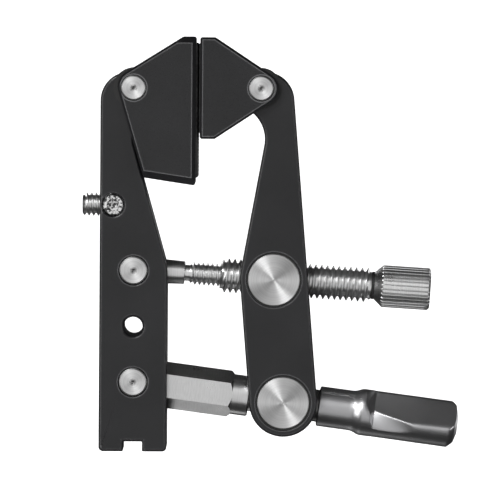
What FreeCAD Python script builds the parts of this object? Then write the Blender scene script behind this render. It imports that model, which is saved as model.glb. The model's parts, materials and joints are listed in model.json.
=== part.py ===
import FreeCAD, Part
import math
import os
import Sketcher

# Super clamp: two hinged arms that carry swivelling jaws.  A telescopic screw with a knob joins
# the arms above, and a clamping rod with a handle joins them below.
#
# Frame, in millimetres: the origin is the centre of the left arm's tapped hole.  X points from the
# left arm to the right arm, Y from the front face to the back, Z up along the left arm.

DIMENSIONS = {
    # left arm
    "arm_thickness": 20.0,
    "left_half_width": 9.25,
    "left_foot": 34.1,
    "left_bend": 15.9,
    "left_foot_radius": 1.2,
    "edge_bevel": 0.45,
    "notch_width": 5.2,
    "notch_depth": 2.7,
    # heads of both arms, measured from the jaw pin
    "head_rise": 4.3,
    "head_radius": 7.8,
    "nose_reach": 6.5,
    "nose_drop": 2.7,
    "nose_radius": 3.5,
    "left_neck_side": 1.3,
    "right_neck_side": 1.05,
    "neck_drop": 10.5,
    "neck_radius": 9.75,
    "bend_radius": 12.0,
    # pivots
    "pivot_rise": 15.2,
    "upper_span": 38.28,
    "upper_tilt": 3.49,
    "barrel_spacing": 33.58,
    "arm_tilt": 4.68,
    "left_jaw_pin_x": -0.25,
    "left_jaw_pin_z": 64.9,
    "right_jaw_pin_x": 0.48,
    "right_jaw_pin_z": 52.2,
    # right arm
    "right_half_width": 9.25,
    "right_bend": 1.5,
    "right_end_radius": 9.24,
    "upper_slot_half": 5.3,
    "upper_slot_depth": 10.8,
    "upper_slot_tilt_shut": 8.2,
    "upper_slot_tilt_open": 11.6,
    "lower_slot_half": 6.2,
    "lower_slot_depth": 12.0,
    "lower_slot_tilt_shut": 12.2,
    "lower_slot_tilt_open": 7.1,
    "slot_reach": 16.0,
    # pins and their screws
    "pin_head_radius": 3.78,
    "pin_head_length": 3.0,
    "pin_radius": 3.0,
    "pin_screw_radius": 1.5,
    "pin_screw_head_radius": 3.35,
    "pin_screw_head_length": 2.0,
    "pin_screw_reach": 9.0,
    "jaw_pin_head_radius": 3.38,
    "jaw_pin_head_length": 1.5,
    "jaw_pin_radius": 2.75,
    "running_gap": 0.05,
    "seat_gap": 0.1,
    "head_gap": 0.2,
    # tapped hole, accessory stud and lock screw
    "tapped_radius": 2.55,
    "tapped_mouth_radius": 3.15,
    "tapped_mouth_depth": 0.6,
    "stud_z": 32.96,
    "stud_radius": 3.175,
    "stud_reach": 14.15,
    "stud_lead": 0.55,
    "stud_shoulder_gap": 0.2,
    "stud_shank_radius": 2.9,
    "stud_mouth_depth": 0.5,
    "stud_inner_end": 1.3,
    "lock_screw_x": 5.7,
    "lock_screw_radius": 2.95,
    "lock_screw_mouth": 0.35,
    "lock_screw_sink": 0.2,
    "lock_screw_socket_radius": 1.6,
    "lock_screw_socket_depth": 2.4,
    # jaws, measured from their pins
    "jaw_width": 26.0,
    "cheek_inside": 20.6,
    "channel_reach": 40.0,
    "jaw_web": 3.5,
    "jaw_bevel": 0.6,
    "jaw_corner_radius": 0.65,
    "left_jaw_tip_radius": 4.5,
    "left_jaw_face": 16.9,
    "left_jaw_apex_x": -5.08,
    "left_jaw_apex_z": 2.38,
    "left_jaw_top": 14.0,
    "left_jaw_shoulder": 13.5,
    "left_jaw_toe_x": 2.85,
    "left_jaw_toe_z": 24.4,
    "left_jaw_bottom": 26.5,
    "left_jaw_top_slope": 1.7,
    "left_jaw_bottom_slope": 1.9,
    "left_jaw_face_slope": 1.0,
    "right_jaw_tip_radius": 4.45,
    "right_jaw_face": 16.65,
    "right_jaw_apex_x": 8.3,
    "right_jaw_top": 13.8,
    "right_jaw_shoulder": 12.6,
    # rubber pads
    "left_pad_crest": 17.5,
    "right_pad_crest": 16.94,
    "pad_seat": 15.2,
    "pad_width": 23.4,
    "pad_gap": 0.1,
    "pad_top": 12.3,
    "left_pad_bottom": 24.3,
    # eye bolt and its pocket
    "eye_radius": 5.2,
    "eye_width": 8.0,
    "shank_root_radius": 3.55,
    "shank_tip_radius": 3.1,
    "shank_start": 3.9,
    "shank_end": 13.9,
    "bolt_neck_radius": 2.175,
    "bolt_thread_start": 15.3,
    "bolt_thread_radius": 3.1,
    "bolt_end": 56.0,
    "upper_pocket_half": 5.9,
    "upper_pocket_width": 10.8,
    "pocket_mouth": 14.0,
    # adjuster sleeve, knob and stop ring
    "sleeve_start": 23.6,
    "sleeve_lead": 0.7,
    "sleeve_radius": 4.65,
    "sleeve_end": 65.0,
    "sleeve_bore_radius": 3.17,
    "sleeve_bore_end": 63.0,
    "sleeve_tail_radius": 3.3,
    "sleeve_tail_end": 76.0,
    "ring_radius": 3.75,
    "cone_start": 65.8,
    "cone_start_radius": 3.7,
    "knob_start": 68.1,
    "knob_radius": 5.75,
    "knob_end": 81.1,
    "knob_bevel": 0.5,
    "knob_dish_radius": 3.6,
    "knob_dish_depth": 0.4,
    # barrels and bushes
    "barrel_radius": 7.0,
    "barrel_bevel": 0.15,
    "bush_wall": 0.35,
    "bush_sink": 0.15,
    "bush_side_gap": 0.2,
    # clamping rod
    "hex_radius": 6.35,
    "hex_flat": 5.5,
    "hex_end": 27.3,
    "hex_bevel": 0.8,
    "hex_sleeve_end": 32.0,
    "hex_bore_start": 11.0,
    "spindle_start": 13.5,
    "spindle_radius": 4.0,
    "spindle_lead": 0.8,
    "journal_radius": 3.2,
    "open_pivot_gap": 0.55,
    "lower_pocket_half": 7.35,
    "lower_pocket_tilt": 10.0,
    "lower_pocket_width": 12.4,
    "seat_distance": 4.6,
    "seat_radius": 5.6,
    "thrust_washer_radius": 5.3,
    "thrust_washer_thickness": 1.0,
    # handle, distances from the lower barrel's axis
    "spindle_tail": 21.0,
    "collar_radius": 4.4,
    "handle_start": 9.6,
    "handle_neck_radius": 5.48,
    "flare_start": 19.2,
    "flare_end": 21.6,
    "handle_radius": 6.38,
    "handle_end": 48.1,
    "handle_crown_depth": 0.8,
    "handle_crown_radius": 2.5,
    "handle_rim_depth": 2.0,
    "handle_rim_radius": 5.4,
    "lobe_chamfer": 2.3,
    "flat_start": 22.6,
    "flat_ramp": 2.4,
    "flat_near": 3.6,
    "flat_far": 4.25,
    "flat_angle": 41.0,
    "facet_start": 23.8,
    "facet_ramp": 1.2,
    "facet_near": 4.0,
    "facet_far": 6.9,
    "facet_angle": 13.7,
}

os.makedirs("parts", exist_ok=True)
doc = FreeCAD.newDocument("super_clamp")
dims = doc.addObject("Spreadsheet::Sheet", "dims")
for row, (word, value) in enumerate(DIMENSIONS.items(), start=1):
    dims.set(f"A{row}", word)
    dims.set(f"B{row}", str(value))
    dims.setAlias(f"B{row}", word)
doc.recompute()

BARREL_1_X = "(dims.upper_span * cos(dims.upper_tilt * 1 deg))"
BARREL_1_Z = "(dims.pivot_rise - dims.upper_span * sin(dims.upper_tilt * 1 deg))"
BARREL_2_X = f"({BARREL_1_X} + dims.barrel_spacing * sin(dims.arm_tilt * 1 deg))"
BARREL_2_Z = f"({BARREL_1_Z} - dims.barrel_spacing * cos(dims.arm_tilt * 1 deg))"
LOWER_DROP = f"(-dims.pivot_rise - {BARREL_2_Z})"
LOWER_SPAN = f"(sqrt({LOWER_DROP} * {LOWER_DROP} + {BARREL_2_X} * {BARREL_2_X}))"
RIGHT_JAW_PIN_X = (
    f"({BARREL_1_X} + dims.right_jaw_pin_x * cos(dims.arm_tilt * 1 deg)"
    " - dims.right_jaw_pin_z * sin(dims.arm_tilt * 1 deg))"
)
RIGHT_JAW_PIN_Z = (
    f"({BARREL_1_Z} + dims.right_jaw_pin_x * sin(dims.arm_tilt * 1 deg)"
    " + dims.right_jaw_pin_z * cos(dims.arm_tilt * 1 deg))"
)

# A frame is where a local outline goes: x, z, and the turn about Y in degrees (clockwise from the front).
LEFT_ARM = ("0", "0", "0 deg")
UPPER_PIVOT = ("0", "dims.pivot_rise", "dims.upper_tilt * 1 deg")
LOWER_PIVOT = ("0", "-dims.pivot_rise", f"atan2({LOWER_DROP}; {BARREL_2_X})")
LOWER_POCKET = ("0", "-dims.pivot_rise", "dims.lower_pocket_tilt * 1 deg")
RIGHT_ARM = (BARREL_1_X, BARREL_1_Z, "-dims.arm_tilt * 1 deg")
LEFT_JAW = ("dims.left_jaw_pin_x", "dims.left_jaw_pin_z", "0 deg")
RIGHT_JAW = (RIGHT_JAW_PIN_X, RIGHT_JAW_PIN_Z, "0 deg")
UPPER_BARREL = (BARREL_1_X, BARREL_1_Z, UPPER_PIVOT[2])
LOWER_BARREL = (BARREL_2_X, BARREL_2_Z, LOWER_PIVOT[2])
HALF_ARM = "dims.arm_thickness / 2"
HALF_JAW = "dims.jaw_width / 2"
BEYOND = "2"  # how far a cutting tool runs past the face it opens


def outline_sketch(body, plane_role, points):
    """Closed outline whose corners are held by two distances from the origin, bound to the sheet."""
    sketch = body.newObject("Sketcher::SketchObject", "outline")
    plane = next(item for item in body.Origin.OriginFeatures if item.Role == plane_role)
    sketch.AttachmentSupport = [(plane, "")]
    sketch.MapMode = "FlatFace"
    count = len(points)
    turn = 2 * math.pi / count
    start = [FreeCAD.Vector(math.cos(turn * i), math.sin(turn * i), 0) for i in range(count)]
    for i in range(count):
        sketch.addGeometry(Part.LineSegment(start[i], start[(i + 1) % count]), False)
    for i in range(count):
        sketch.addConstraint(Sketcher.Constraint("Coincident", i, 2, (i + 1) % count, 1))
    for i, (across, along) in enumerate(points):
        for kind, value, text in (("DistanceX", start[i].x, across), ("DistanceY", start[i].y, along)):
            index = sketch.addConstraint(Sketcher.Constraint(kind, -1, 1, i, 1, value))
            sketch.setExpression(f"Constraints[{index}]", text)
    return sketch


def plate(label, points, depth):
    """Outline in X and Z, padded to both sides of the middle plane."""
    body = doc.addObject("PartDesign::Body", label)
    sketch = outline_sketch(body, "XZ_Plane", points)
    pad = body.newObject("PartDesign::Pad", "pad")
    pad.Profile = sketch
    pad.Midplane = True
    pad.setExpression("Length", depth)
    doc.recompute()
    return body


def turned(label, axis, points):
    """Outline of (distance along the axis, radius) turned about the X or the Y axis."""
    body = doc.addObject("PartDesign::Body", label)
    sketch = outline_sketch(body, {"X": "XZ_Plane", "Y": "YZ_Plane"}[axis], points)
    turn = body.newObject("PartDesign::Revolution", "turn")
    turn.Profile = sketch
    turn.ReferenceAxis = (sketch, ["H_Axis"])
    turn.Angle = 360
    doc.recompute()
    return body


def rod(label, axis, start, end, radius):
    return turned(label, axis, [(start, "0"), (end, "0"), (end, radius), (start, radius)])


def ring(label, axis, start, end, inner, outer):
    return turned(label, axis, [(start, inner), (end, inner), (end, outer), (start, outer)])


def round_corners(body, corners):
    """Fillet the plate's edges that stand on the given outline corners."""
    sketch = body.Group[0]
    for index, radius in corners:
        corner = sketch.Geometry[index].StartPoint
        names = [
            f"Edge{i + 1}"
            for i, edge in enumerate(body.Tip.Shape.Edges)
            if all(math.hypot(v.X - corner.x, v.Z - corner.y) < 0.01 for v in edge.Vertexes)
        ]
        dress(body, "PartDesign::Fillet", "Radius", names, radius)


def bevel_faces(body, size):
    """Chamfer the outline of the plate's front and back faces."""
    reach = body.Tip.Shape.BoundBox.YMax
    names = [
        f"Edge{i + 1}"
        for i, edge in enumerate(body.Tip.Shape.Edges)
        if edge.BoundBox.YLength < 0.01 and abs(abs(edge.BoundBox.YMax) - reach) < 0.01
    ]
    dress(body, "PartDesign::Chamfer", "Size", names, size)


def dress(body, kind, size_name, edge_names, size):
    base = body.Tip
    feature = body.newObject(kind, "dress")
    feature.Base = (base, edge_names)
    feature.setExpression(size_name, size)
    body.Tip = feature
    doc.recompute()


def fuse(label, shapes):
    result = doc.addObject("Part::MultiFuse", label)
    result.Shapes = shapes
    return result


def common(label, shapes):
    result = doc.addObject("Part::MultiCommon", label)
    result.Shapes = shapes
    return result


def cut(label, base, tools):
    result = doc.addObject("Part::Cut", label)
    result.Base = base
    result.Tool = tools[0] if len(tools) == 1 else fuse(f"{label}_tools", tools)
    return result


def group(label, shapes):
    """Identical pieces that share a node and stay separate solids."""
    result = doc.addObject("Part::Compound", label)
    result.Links = shapes
    return result


def place(piece, frame):
    x, z, turn = frame
    piece.Placement = FreeCAD.Placement(FreeCAD.Vector(), FreeCAD.Rotation(FreeCAD.Vector(0, 1, 0), 1))
    piece.setExpression(".Placement.Base.x", x)
    piece.setExpression(".Placement.Base.z", z)
    piece.setExpression(".Placement.Rotation.Angle", turn)
    return piece


def rectangle(x_from, x_to, z_from, z_to):
    return [(x_from, z_from), (x_to, z_from), (x_to, z_to), (x_from, z_to)]


# ---- pins that are closed by a screw from behind ----------------------------------------------

ARM_PIN = (HALF_ARM, "dims.pin_head_radius", "dims.pin_head_length", "dims.pin_radius")
JAW_PIN = (HALF_JAW, "dims.jaw_pin_head_radius", "dims.jaw_pin_head_length", "dims.jaw_pin_radius")
ARM_SCREW = (HALF_ARM, "dims.pin_screw_head_radius", "dims.pin_screw_head_length")
JAW_SCREW = (HALF_JAW, "dims.pin_screw_head_radius", "dims.jaw_pin_head_length")


def pin(label, sizes, screw):
    half, head_radius, head_length, radius = sizes
    back = f"({half} - {screw[2]})"
    bore_end = f"({back} - dims.pin_screw_reach)"
    return turned(label, "Y", [
        (f"-{half}", "0"),
        (f"-{half}", head_radius),
        (f"-{half} + {head_length}", head_radius),
        (f"-{half} + {head_length}", radius),
        (back, radius),
        (back, "dims.pin_screw_radius"),
        (bore_end, "dims.pin_screw_radius"),
        (bore_end, "0"),
    ])


def pin_screw(label, screw):
    half, head_radius, head_length = screw
    back = f"({half} - {head_length})"
    top = f"({half} - dims.seat_gap)"
    socket = "dims.pin_screw_radius * 0.8"
    return turned(label, "Y", [
        (f"{back} - dims.pin_screw_reach + dims.seat_gap", "0"),
        (f"{back} - dims.pin_screw_reach + dims.seat_gap", "dims.pin_screw_radius"),
        (back, "dims.pin_screw_radius"),
        (back, head_radius),
        (f"{top} - 0.3", head_radius),
        (top, f"{head_radius} - 0.3"),
        (top, socket),
        (f"{top} - {head_length} * 0.6", socket),
        (f"{top} - {head_length} * 0.6", "0"),
    ])


def pin_hole(label, sizes, screw, play):
    """Stepped hole through a part: head seat in front, shank, screw head seat behind."""
    half, head_radius, head_length, radius = sizes
    back = f"({half} - {screw[2]})"
    return turned(label, "Y", [
        (f"-{half} - {BEYOND}", "0"),
        (f"-{half} - {BEYOND}", f"{head_radius} + dims.head_gap"),
        (f"-{half} + {head_length}", f"{head_radius} + dims.head_gap"),
        (f"-{half} + {head_length}", f"{radius} + {play}"),
        (back, f"{radius} + {play}"),
        (back, f"{screw[1]} + dims.running_gap"),
        (f"{half} + {BEYOND}", f"{screw[1]} + dims.running_gap"),
        (f"{half} + {BEYOND}", "0"),
    ])


# ---- left arm ----------------------------------------------------------------------------------


def head_points(side, pin_x, pin_z, half_width, neck_side):
    """Neck, nose and outer corner of an arm's head; side is 1 where the nose points to +X."""
    return [
        (f"{pin_x} - {side} * {neck_side}", f"{pin_z} - dims.neck_drop"),
        (f"{pin_x} + {side} * dims.nose_reach", f"{pin_z} - dims.nose_drop"),
        (f"{pin_x} + {side} * dims.nose_reach", f"{pin_z} + dims.head_rise"),
        (f"-{side} * {half_width}", f"{pin_z} + dims.head_rise"),
    ]


def round_head(body, first):
    radii = ("dims.neck_radius", "dims.nose_radius", "dims.nose_radius", "dims.head_radius")
    round_corners(body, [(first + i, radius) for i, radius in enumerate(radii)])


def left_arm_blank():
    half, foot, notch = "dims.left_half_width", "-dims.left_foot", "dims.notch_width / 2"
    notch_top = "-dims.left_foot + dims.notch_depth"
    body = plate("left_arm_blank", [
        (f"-{half}", foot),
        (f"-{notch}", foot),
        (f"-{notch}", notch_top),
        (notch, notch_top),
        (notch, foot),
        (half, foot),
        (half, "dims.left_bend"),
        *head_points(1, "dims.left_jaw_pin_x", "dims.left_jaw_pin_z", half, "dims.left_neck_side"),
    ], "dims.arm_thickness")
    round_corners(body, [(0, "dims.left_foot_radius"), (5, "dims.left_foot_radius")])
    round_corners(body, [(6, "dims.bend_radius")])
    round_head(body, 7)
    bevel_faces(body, "dims.edge_bevel")
    return body


def rod_pocket(label, half_height, width, frame):
    """Pocket that lets a rod swing about its pin: a round end and a straight mouth."""
    sides = rectangle("0", "dims.pocket_mouth", f"-{half_height}", half_height)
    mouth = plate(f"{label}_mouth", sides, width)
    round_end = rod(f"{label}_end", "Y", f"-{width} / 2", f"{width} / 2", half_height)
    return place(fuse(label, [mouth, round_end]), frame)


def tapped_hole():
    half, radius, mouth = HALF_ARM, "dims.tapped_radius", "dims.tapped_mouth_radius"
    depth = "dims.tapped_mouth_depth"
    return turned("tapped_hole", "Y", [
        (f"-{half} - {BEYOND}", "0"),
        (f"-{half} - {BEYOND}", mouth),
        (f"-{half}", mouth),
        (f"-{half} + {depth}", radius),
        (f"{half} - {depth}", radius),
        (half, mouth),
        (f"{half} + {BEYOND}", mouth),
        (f"{half} + {BEYOND}", "0"),
    ])


STUD_FRAME = ("0", "dims.stud_z", "0 deg")
LOCK_FRAME = ("-dims.lock_screw_x", "dims.stud_z", "0 deg")


def lock_screw_hole():
    """Hole for the lock screw, open into the stud's hole and bevelled at its mouth."""
    radius, mouth = "(dims.lock_screw_radius + dims.running_gap)", "dims.lock_screw_mouth"
    floor = "-dims.stud_shank_radius + dims.running_gap"
    return turned("lock_screw_hole", "Y", [
        (f"-{HALF_ARM} - {BEYOND}", "0"),
        (f"-{HALF_ARM} - {BEYOND}", f"{radius} + {mouth}"),
        (f"-{HALF_ARM}", f"{radius} + {mouth}"),
        (f"-{HALF_ARM} + {mouth}", radius),
        (floor, radius),
        (floor, "0"),
    ])


def stud_hole():
    """Hole for the stud's shank, with a mouth wider than the stud's thread."""
    outside, mouth = f"-dims.left_half_width - {BEYOND}", "dims.stud_radius + dims.head_gap"
    shank, floor = "dims.stud_shank_radius + dims.running_gap", "-dims.stud_inner_end + dims.seat_gap"
    return turned("stud_hole", "X", [
        (outside, "0"),
        (outside, mouth),
        ("-dims.left_half_width + dims.stud_mouth_depth", mouth),
        ("-dims.left_half_width + dims.stud_mouth_depth", shank),
        (floor, shank),
        (floor, "0"),
    ])


def left_arm():
    jaw_pin_hole = rod("left_jaw_pin_hole", "Y", f"-{HALF_ARM} - {BEYOND}", f"{HALF_ARM} + {BEYOND}",
                       "dims.jaw_pin_radius")
    return cut("left_arm", left_arm_blank(), [
        rod_pocket("upper_pocket", "dims.upper_pocket_half", "dims.upper_pocket_width", UPPER_PIVOT),
        rod_pocket("lower_pocket", "dims.lower_pocket_half", "dims.lower_pocket_width", LOWER_POCKET),
        place(pin_hole("upper_pin_hole", ARM_PIN, ARM_SCREW, "0"), UPPER_PIVOT),
        place(pin_hole("lower_pin_hole", ARM_PIN, ARM_SCREW, "0"), LOWER_PIVOT),
        place(jaw_pin_hole, LEFT_JAW),
        tapped_hole(),
        place(stud_hole(), STUD_FRAME),
        place(lock_screw_hole(), LOCK_FRAME),
    ])


def accessory_stud():
    """Threaded stud with a thinner plain shank that sits in the arm."""
    radius, shank, lead = "dims.stud_radius", "dims.stud_shank_radius", "dims.stud_lead"
    shoulder = "-dims.left_half_width - dims.stud_shoulder_gap"
    return place(turned("accessory_stud", "X", [
        ("-dims.stud_reach", "0"),
        ("-dims.stud_reach", f"{radius} - {lead}"),
        (f"-dims.stud_reach + {lead}", radius),
        (shoulder, radius),
        (shoulder, shank),
        ("-dims.stud_inner_end", shank),
        ("-dims.stud_inner_end", "0"),
    ]), STUD_FRAME)


def stud_lock_screw():
    """Socket screw that holds the stud by its shank."""
    face, socket = f"(-{HALF_ARM} + dims.lock_screw_sink)", "dims.lock_screw_socket_radius"
    bottom = f"{face} + dims.lock_screw_socket_depth"
    radius = "dims.lock_screw_radius"
    return place(turned("stud_lock_screw", "Y", [
        (face, socket),
        (face, f"{radius} - 0.3"),
        (f"{face} + 0.3", radius),
        ("-dims.stud_shank_radius - dims.seat_gap", radius),
        ("-dims.stud_shank_radius - dims.seat_gap", "0"),
        (bottom, "0"),
        (bottom, socket),
    ]), LOCK_FRAME)


# ---- jaws --------------------------------------------------------------------------------------


def jaw_blank(label, points, tip_radius):
    """Bevelled block with the given outline, whose first point is the rounded tip at the pin."""
    blank = plate(f"{label}_blank", points, "dims.jaw_width")
    round_corners(blank, [(0, tip_radius)])
    round_corners(blank, [(i, "dims.jaw_corner_radius") for i in range(1, len(points))])
    bevel_faces(blank, "dims.jaw_bevel")
    return blank


def jaw_shell(label, side, blank, face, pad_bottom, frame, slopes=()):
    """U-shaped shell: two cheeks that straddle the arm's head, joined by the web behind the pad.

    Side is "-" where the pad faces -X.
    """
    reach = "dims.channel_reach"
    inside = rectangle(f"{side}(-{reach})", f"{side}({face} - dims.jaw_web)", f"-{reach}", reach)
    recess = rectangle(f"{side}dims.pad_seat", f"{side}({face} + {BEYOND})",
                       f"-{pad_bottom} - dims.pad_gap", "dims.pad_top + dims.pad_gap")
    channel = plate(f"{label}_channel", inside, "dims.cheek_inside")
    seat = plate(f"{label}_seat", recess, "dims.pad_width + 2 * dims.pad_gap")
    hole = pin_hole(f"{label}_pin_hole", JAW_PIN, JAW_SCREW, "dims.running_gap")
    return place(cut(label, blank, [channel, seat, hole, *slopes]), frame)


def edge_slopes(label, size, frame):
    """Wedges that slope the front and the back face off towards an edge along the frame's X axis."""
    half = "dims.jaw_width / 2"
    wedges = []
    for name, side in (("front", "-"), ("back", "")):
        wedge = plate(f"{label}_{name}", [
            (f"{side}({half} + {BEYOND})", f"-{size} - {BEYOND}"),
            (f"{side}({half} + {BEYOND})", BEYOND),
            (f"{side}({half} - {size} - {BEYOND})", BEYOND),
        ], "2 * dims.channel_reach")
        wedge.Placement.Rotation = FreeCAD.Rotation(FreeCAD.Vector(0, 0, 1), 90)
        wedges.append(wedge)
    return place(fuse(label, wedges), frame)


def left_jaw_shell():
    bottom_drop = "dims.left_jaw_bottom - dims.left_jaw_toe_z"
    bottom_tilt = f"atan2({bottom_drop}; dims.left_jaw_face - dims.left_jaw_toe_x)"
    blank = jaw_blank("left_jaw_shell", [
        ("dims.left_jaw_apex_x", "dims.left_jaw_apex_z"),
        ("dims.left_jaw_toe_x", "-dims.left_jaw_toe_z"),
        ("dims.left_jaw_face", "-dims.left_jaw_bottom"),
        ("dims.left_jaw_face", "dims.left_jaw_top"),
        ("dims.left_jaw_shoulder", "dims.left_jaw_top"),
    ], "dims.left_jaw_tip_radius")
    slopes = [
        edge_slopes("left_jaw_top_edge", "dims.left_jaw_top_slope", ("0", "dims.left_jaw_top", "0 deg")),
        edge_slopes("left_jaw_bottom_edge", "dims.left_jaw_bottom_slope",
                    ("dims.left_jaw_face", "-dims.left_jaw_bottom", f"180 deg + {bottom_tilt}")),
        edge_slopes("left_jaw_face_edge", "dims.left_jaw_face_slope", ("dims.left_jaw_face", "0", "90 deg")),
    ]
    return jaw_shell("left_jaw_shell", "", blank, "dims.left_jaw_face", "dims.left_pad_bottom",
                     LEFT_JAW, slopes)


def right_jaw_shell():
    blank = jaw_blank("right_jaw_shell", [
        ("dims.right_jaw_apex_x", "0"),
        ("-dims.right_jaw_shoulder", "dims.right_jaw_top"),
        ("-dims.right_jaw_face", "dims.right_jaw_top"),
        ("-dims.right_jaw_face", "-dims.right_jaw_top"),
        ("-dims.right_jaw_shoulder", "-dims.right_jaw_top"),
    ], "dims.right_jaw_tip_radius")
    return jaw_shell("right_jaw_shell", "-", blank, "dims.right_jaw_face", "dims.pad_top", RIGHT_JAW)


def jaw_pad(label, side, crest, bottom, frame):
    points = rectangle(f"{side}dims.pad_seat", f"{side}{crest}", f"-{bottom}", "dims.pad_top")
    return place(plate(label, points, "dims.pad_width"), frame)


def washer_pair(label, frame, inner_face, outer_face, inner, outer):
    """Two equal rings, one on each side of the middle plane."""
    rings = [
        ring(f"{label}_front", "Y", f"-{outer_face}", f"-{inner_face}", inner, outer),
        ring(f"{label}_back", "Y", inner_face, outer_face, inner, outer),
    ]
    return place(group(label, rings), frame)


def jaw_washers(label, frame):
    return washer_pair(label, frame, f"({HALF_ARM} + 0.05)", "(dims.cheek_inside / 2 - 0.05)",
                       "dims.jaw_pin_radius + dims.running_gap", "dims.jaw_pin_radius * 2")


# ---- upper screw -------------------------------------------------------------------------------


def eye_bolt():
    half = "dims.eye_width / 2"
    shank = turned("eye_bolt_shank", "X", [
        ("dims.shank_start", "0"),
        ("dims.shank_start", "dims.shank_root_radius"),
        ("dims.shank_end", "dims.shank_tip_radius"),
        ("dims.shank_end", "dims.bolt_neck_radius"),
        ("dims.bolt_thread_start", "dims.bolt_neck_radius"),
        ("dims.bolt_thread_start", "dims.bolt_thread_radius"),
        ("dims.bolt_end", "dims.bolt_thread_radius"),
        ("dims.bolt_end", "0"),
    ])
    eye = rod("eye_bolt_eye", "Y", f"-{half}", half, "dims.eye_radius")
    hole = rod("eye_bolt_hole", "Y", f"-{half} - {BEYOND}", f"{half} + {BEYOND}",
               "dims.pin_radius + dims.running_gap")
    return place(cut("eye_bolt", fuse("eye_bolt_blank", [shank, eye]), [hole]), UPPER_PIVOT)


def eye_washers():
    return washer_pair("eye_washers", UPPER_PIVOT, "dims.eye_width / 2",
                       "(dims.upper_pocket_width / 2 - dims.bush_side_gap)",
                       "dims.pin_radius + dims.running_gap", "dims.pin_radius * 1.7")


def adjuster_sleeve():
    """Tube with the coarse thread outside and the eye bolt's thread inside, closed at the knob's end."""
    radius, lead = "dims.sleeve_radius", "dims.sleeve_lead"
    bore, tail = "dims.sleeve_bore_radius", "dims.sleeve_tail_radius"
    return place(turned("adjuster_sleeve", "X", [
        ("dims.sleeve_start", bore),
        ("dims.sleeve_start", f"{radius} - {lead}"),
        (f"dims.sleeve_start + {lead}", radius),
        ("dims.sleeve_end", radius),
        ("dims.sleeve_end", tail),
        ("dims.sleeve_tail_end", tail),
        ("dims.sleeve_tail_end", "0"),
        ("dims.sleeve_bore_end", "0"),
        ("dims.sleeve_bore_end", bore),
    ]), UPPER_PIVOT)


def knob_stop_ring():
    return place(ring("knob_stop_ring", "X", "dims.sleeve_end + dims.running_gap",
                      "dims.cone_start - dims.running_gap",
                      "dims.sleeve_tail_radius + dims.running_gap", "dims.ring_radius"), UPPER_PIVOT)


def adjuster_knob():
    bore, bore_end = "dims.sleeve_tail_radius + dims.running_gap", "dims.sleeve_tail_end + dims.running_gap"
    floor, edge = "dims.knob_end - dims.knob_dish_depth", "dims.knob_bevel"
    return place(turned("adjuster_knob", "X", [
        ("dims.cone_start", bore),
        ("dims.cone_start", "dims.cone_start_radius"),
        ("dims.knob_start", "dims.knob_radius"),
        (f"dims.knob_end - {edge}", "dims.knob_radius"),
        ("dims.knob_end", f"dims.knob_radius - {edge}"),
        ("dims.knob_end", "dims.knob_dish_radius"),
        (floor, f"dims.knob_dish_radius - {edge}"),
        (floor, "0"),
        (bore_end, "0"),
        (bore_end, bore),
    ]), UPPER_PIVOT)


# ---- barrels and bushes ------------------------------------------------------------------------


def barrel_blank(label):
    radius, edge = "dims.barrel_radius", "dims.barrel_bevel"
    return turned(label, "Y", [
        (f"-{HALF_ARM}", "0"),
        (f"-{HALF_ARM}", f"{radius} - {edge}"),
        (f"-{HALF_ARM} + {edge}", radius),
        (f"{HALF_ARM} - {edge}", radius),
        (HALF_ARM, f"{radius} - {edge}"),
        (HALF_ARM, "0"),
    ])


def upper_barrel():
    bore = rod("upper_barrel_bore", "X", "-dims.slot_reach", "dims.slot_reach",
               "dims.sleeve_radius + dims.running_gap")
    return place(cut("upper_barrel", barrel_blank("upper_barrel_blank"), [bore]), UPPER_BARREL)


def lower_barrel():
    seat, reach = "dims.seat_distance", "dims.slot_reach"
    tools = [
        rod("lower_barrel_bore", "X", f"-{reach}", reach, "dims.journal_radius + dims.running_gap"),
        rod("left_seat", "X", f"-{reach}", f"-{seat}", "dims.seat_radius"),
        rod("right_seat", "X", seat, reach, "dims.seat_radius"),
    ]
    return place(cut("lower_barrel", barrel_blank("lower_barrel_blank"), tools), LOWER_BARREL)


def bushes(label, frame, slot_depth):
    inner_face, outer_face = f"({slot_depth} / 2 + dims.bush_side_gap)", f"({HALF_ARM} - dims.bush_sink)"
    return washer_pair(label, frame, inner_face, outer_face,
                       "dims.barrel_radius + dims.running_gap",
                       "dims.barrel_radius + dims.running_gap + dims.bush_wall")


# ---- right arm ---------------------------------------------------------------------------------


def right_arm_blank():
    half, end = "dims.right_half_width", "-dims.barrel_spacing - dims.right_half_width"
    body = plate("right_arm_blank", [
        (half, end),
        (f"-{half}", end),
        (f"-{half}", "dims.right_bend"),
        *head_points(-1, "dims.right_jaw_pin_x", "dims.right_jaw_pin_z", half, "dims.right_neck_side"),
    ], "dims.arm_thickness")
    round_corners(body, [(0, "dims.right_end_radius"), (1, "dims.right_end_radius")])
    round_corners(body, [(2, "dims.bend_radius")])
    round_head(body, 3)
    bevel_faces(body, "dims.edge_bevel")
    return body


def swing_slot(label, half_height, depth, tilts, z):
    """Slot right through the arm: one straight cut at each end of the rod's swing."""
    reach = "dims.slot_reach"
    sides = rectangle(f"-{reach}", reach, f"-{half_height}", half_height)
    return [
        place(plate(f"{label}_{i}", sides, depth), ("0", z, f"{tilt} * 1 deg"))
        for i, tilt in enumerate(tilts)
    ]


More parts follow.
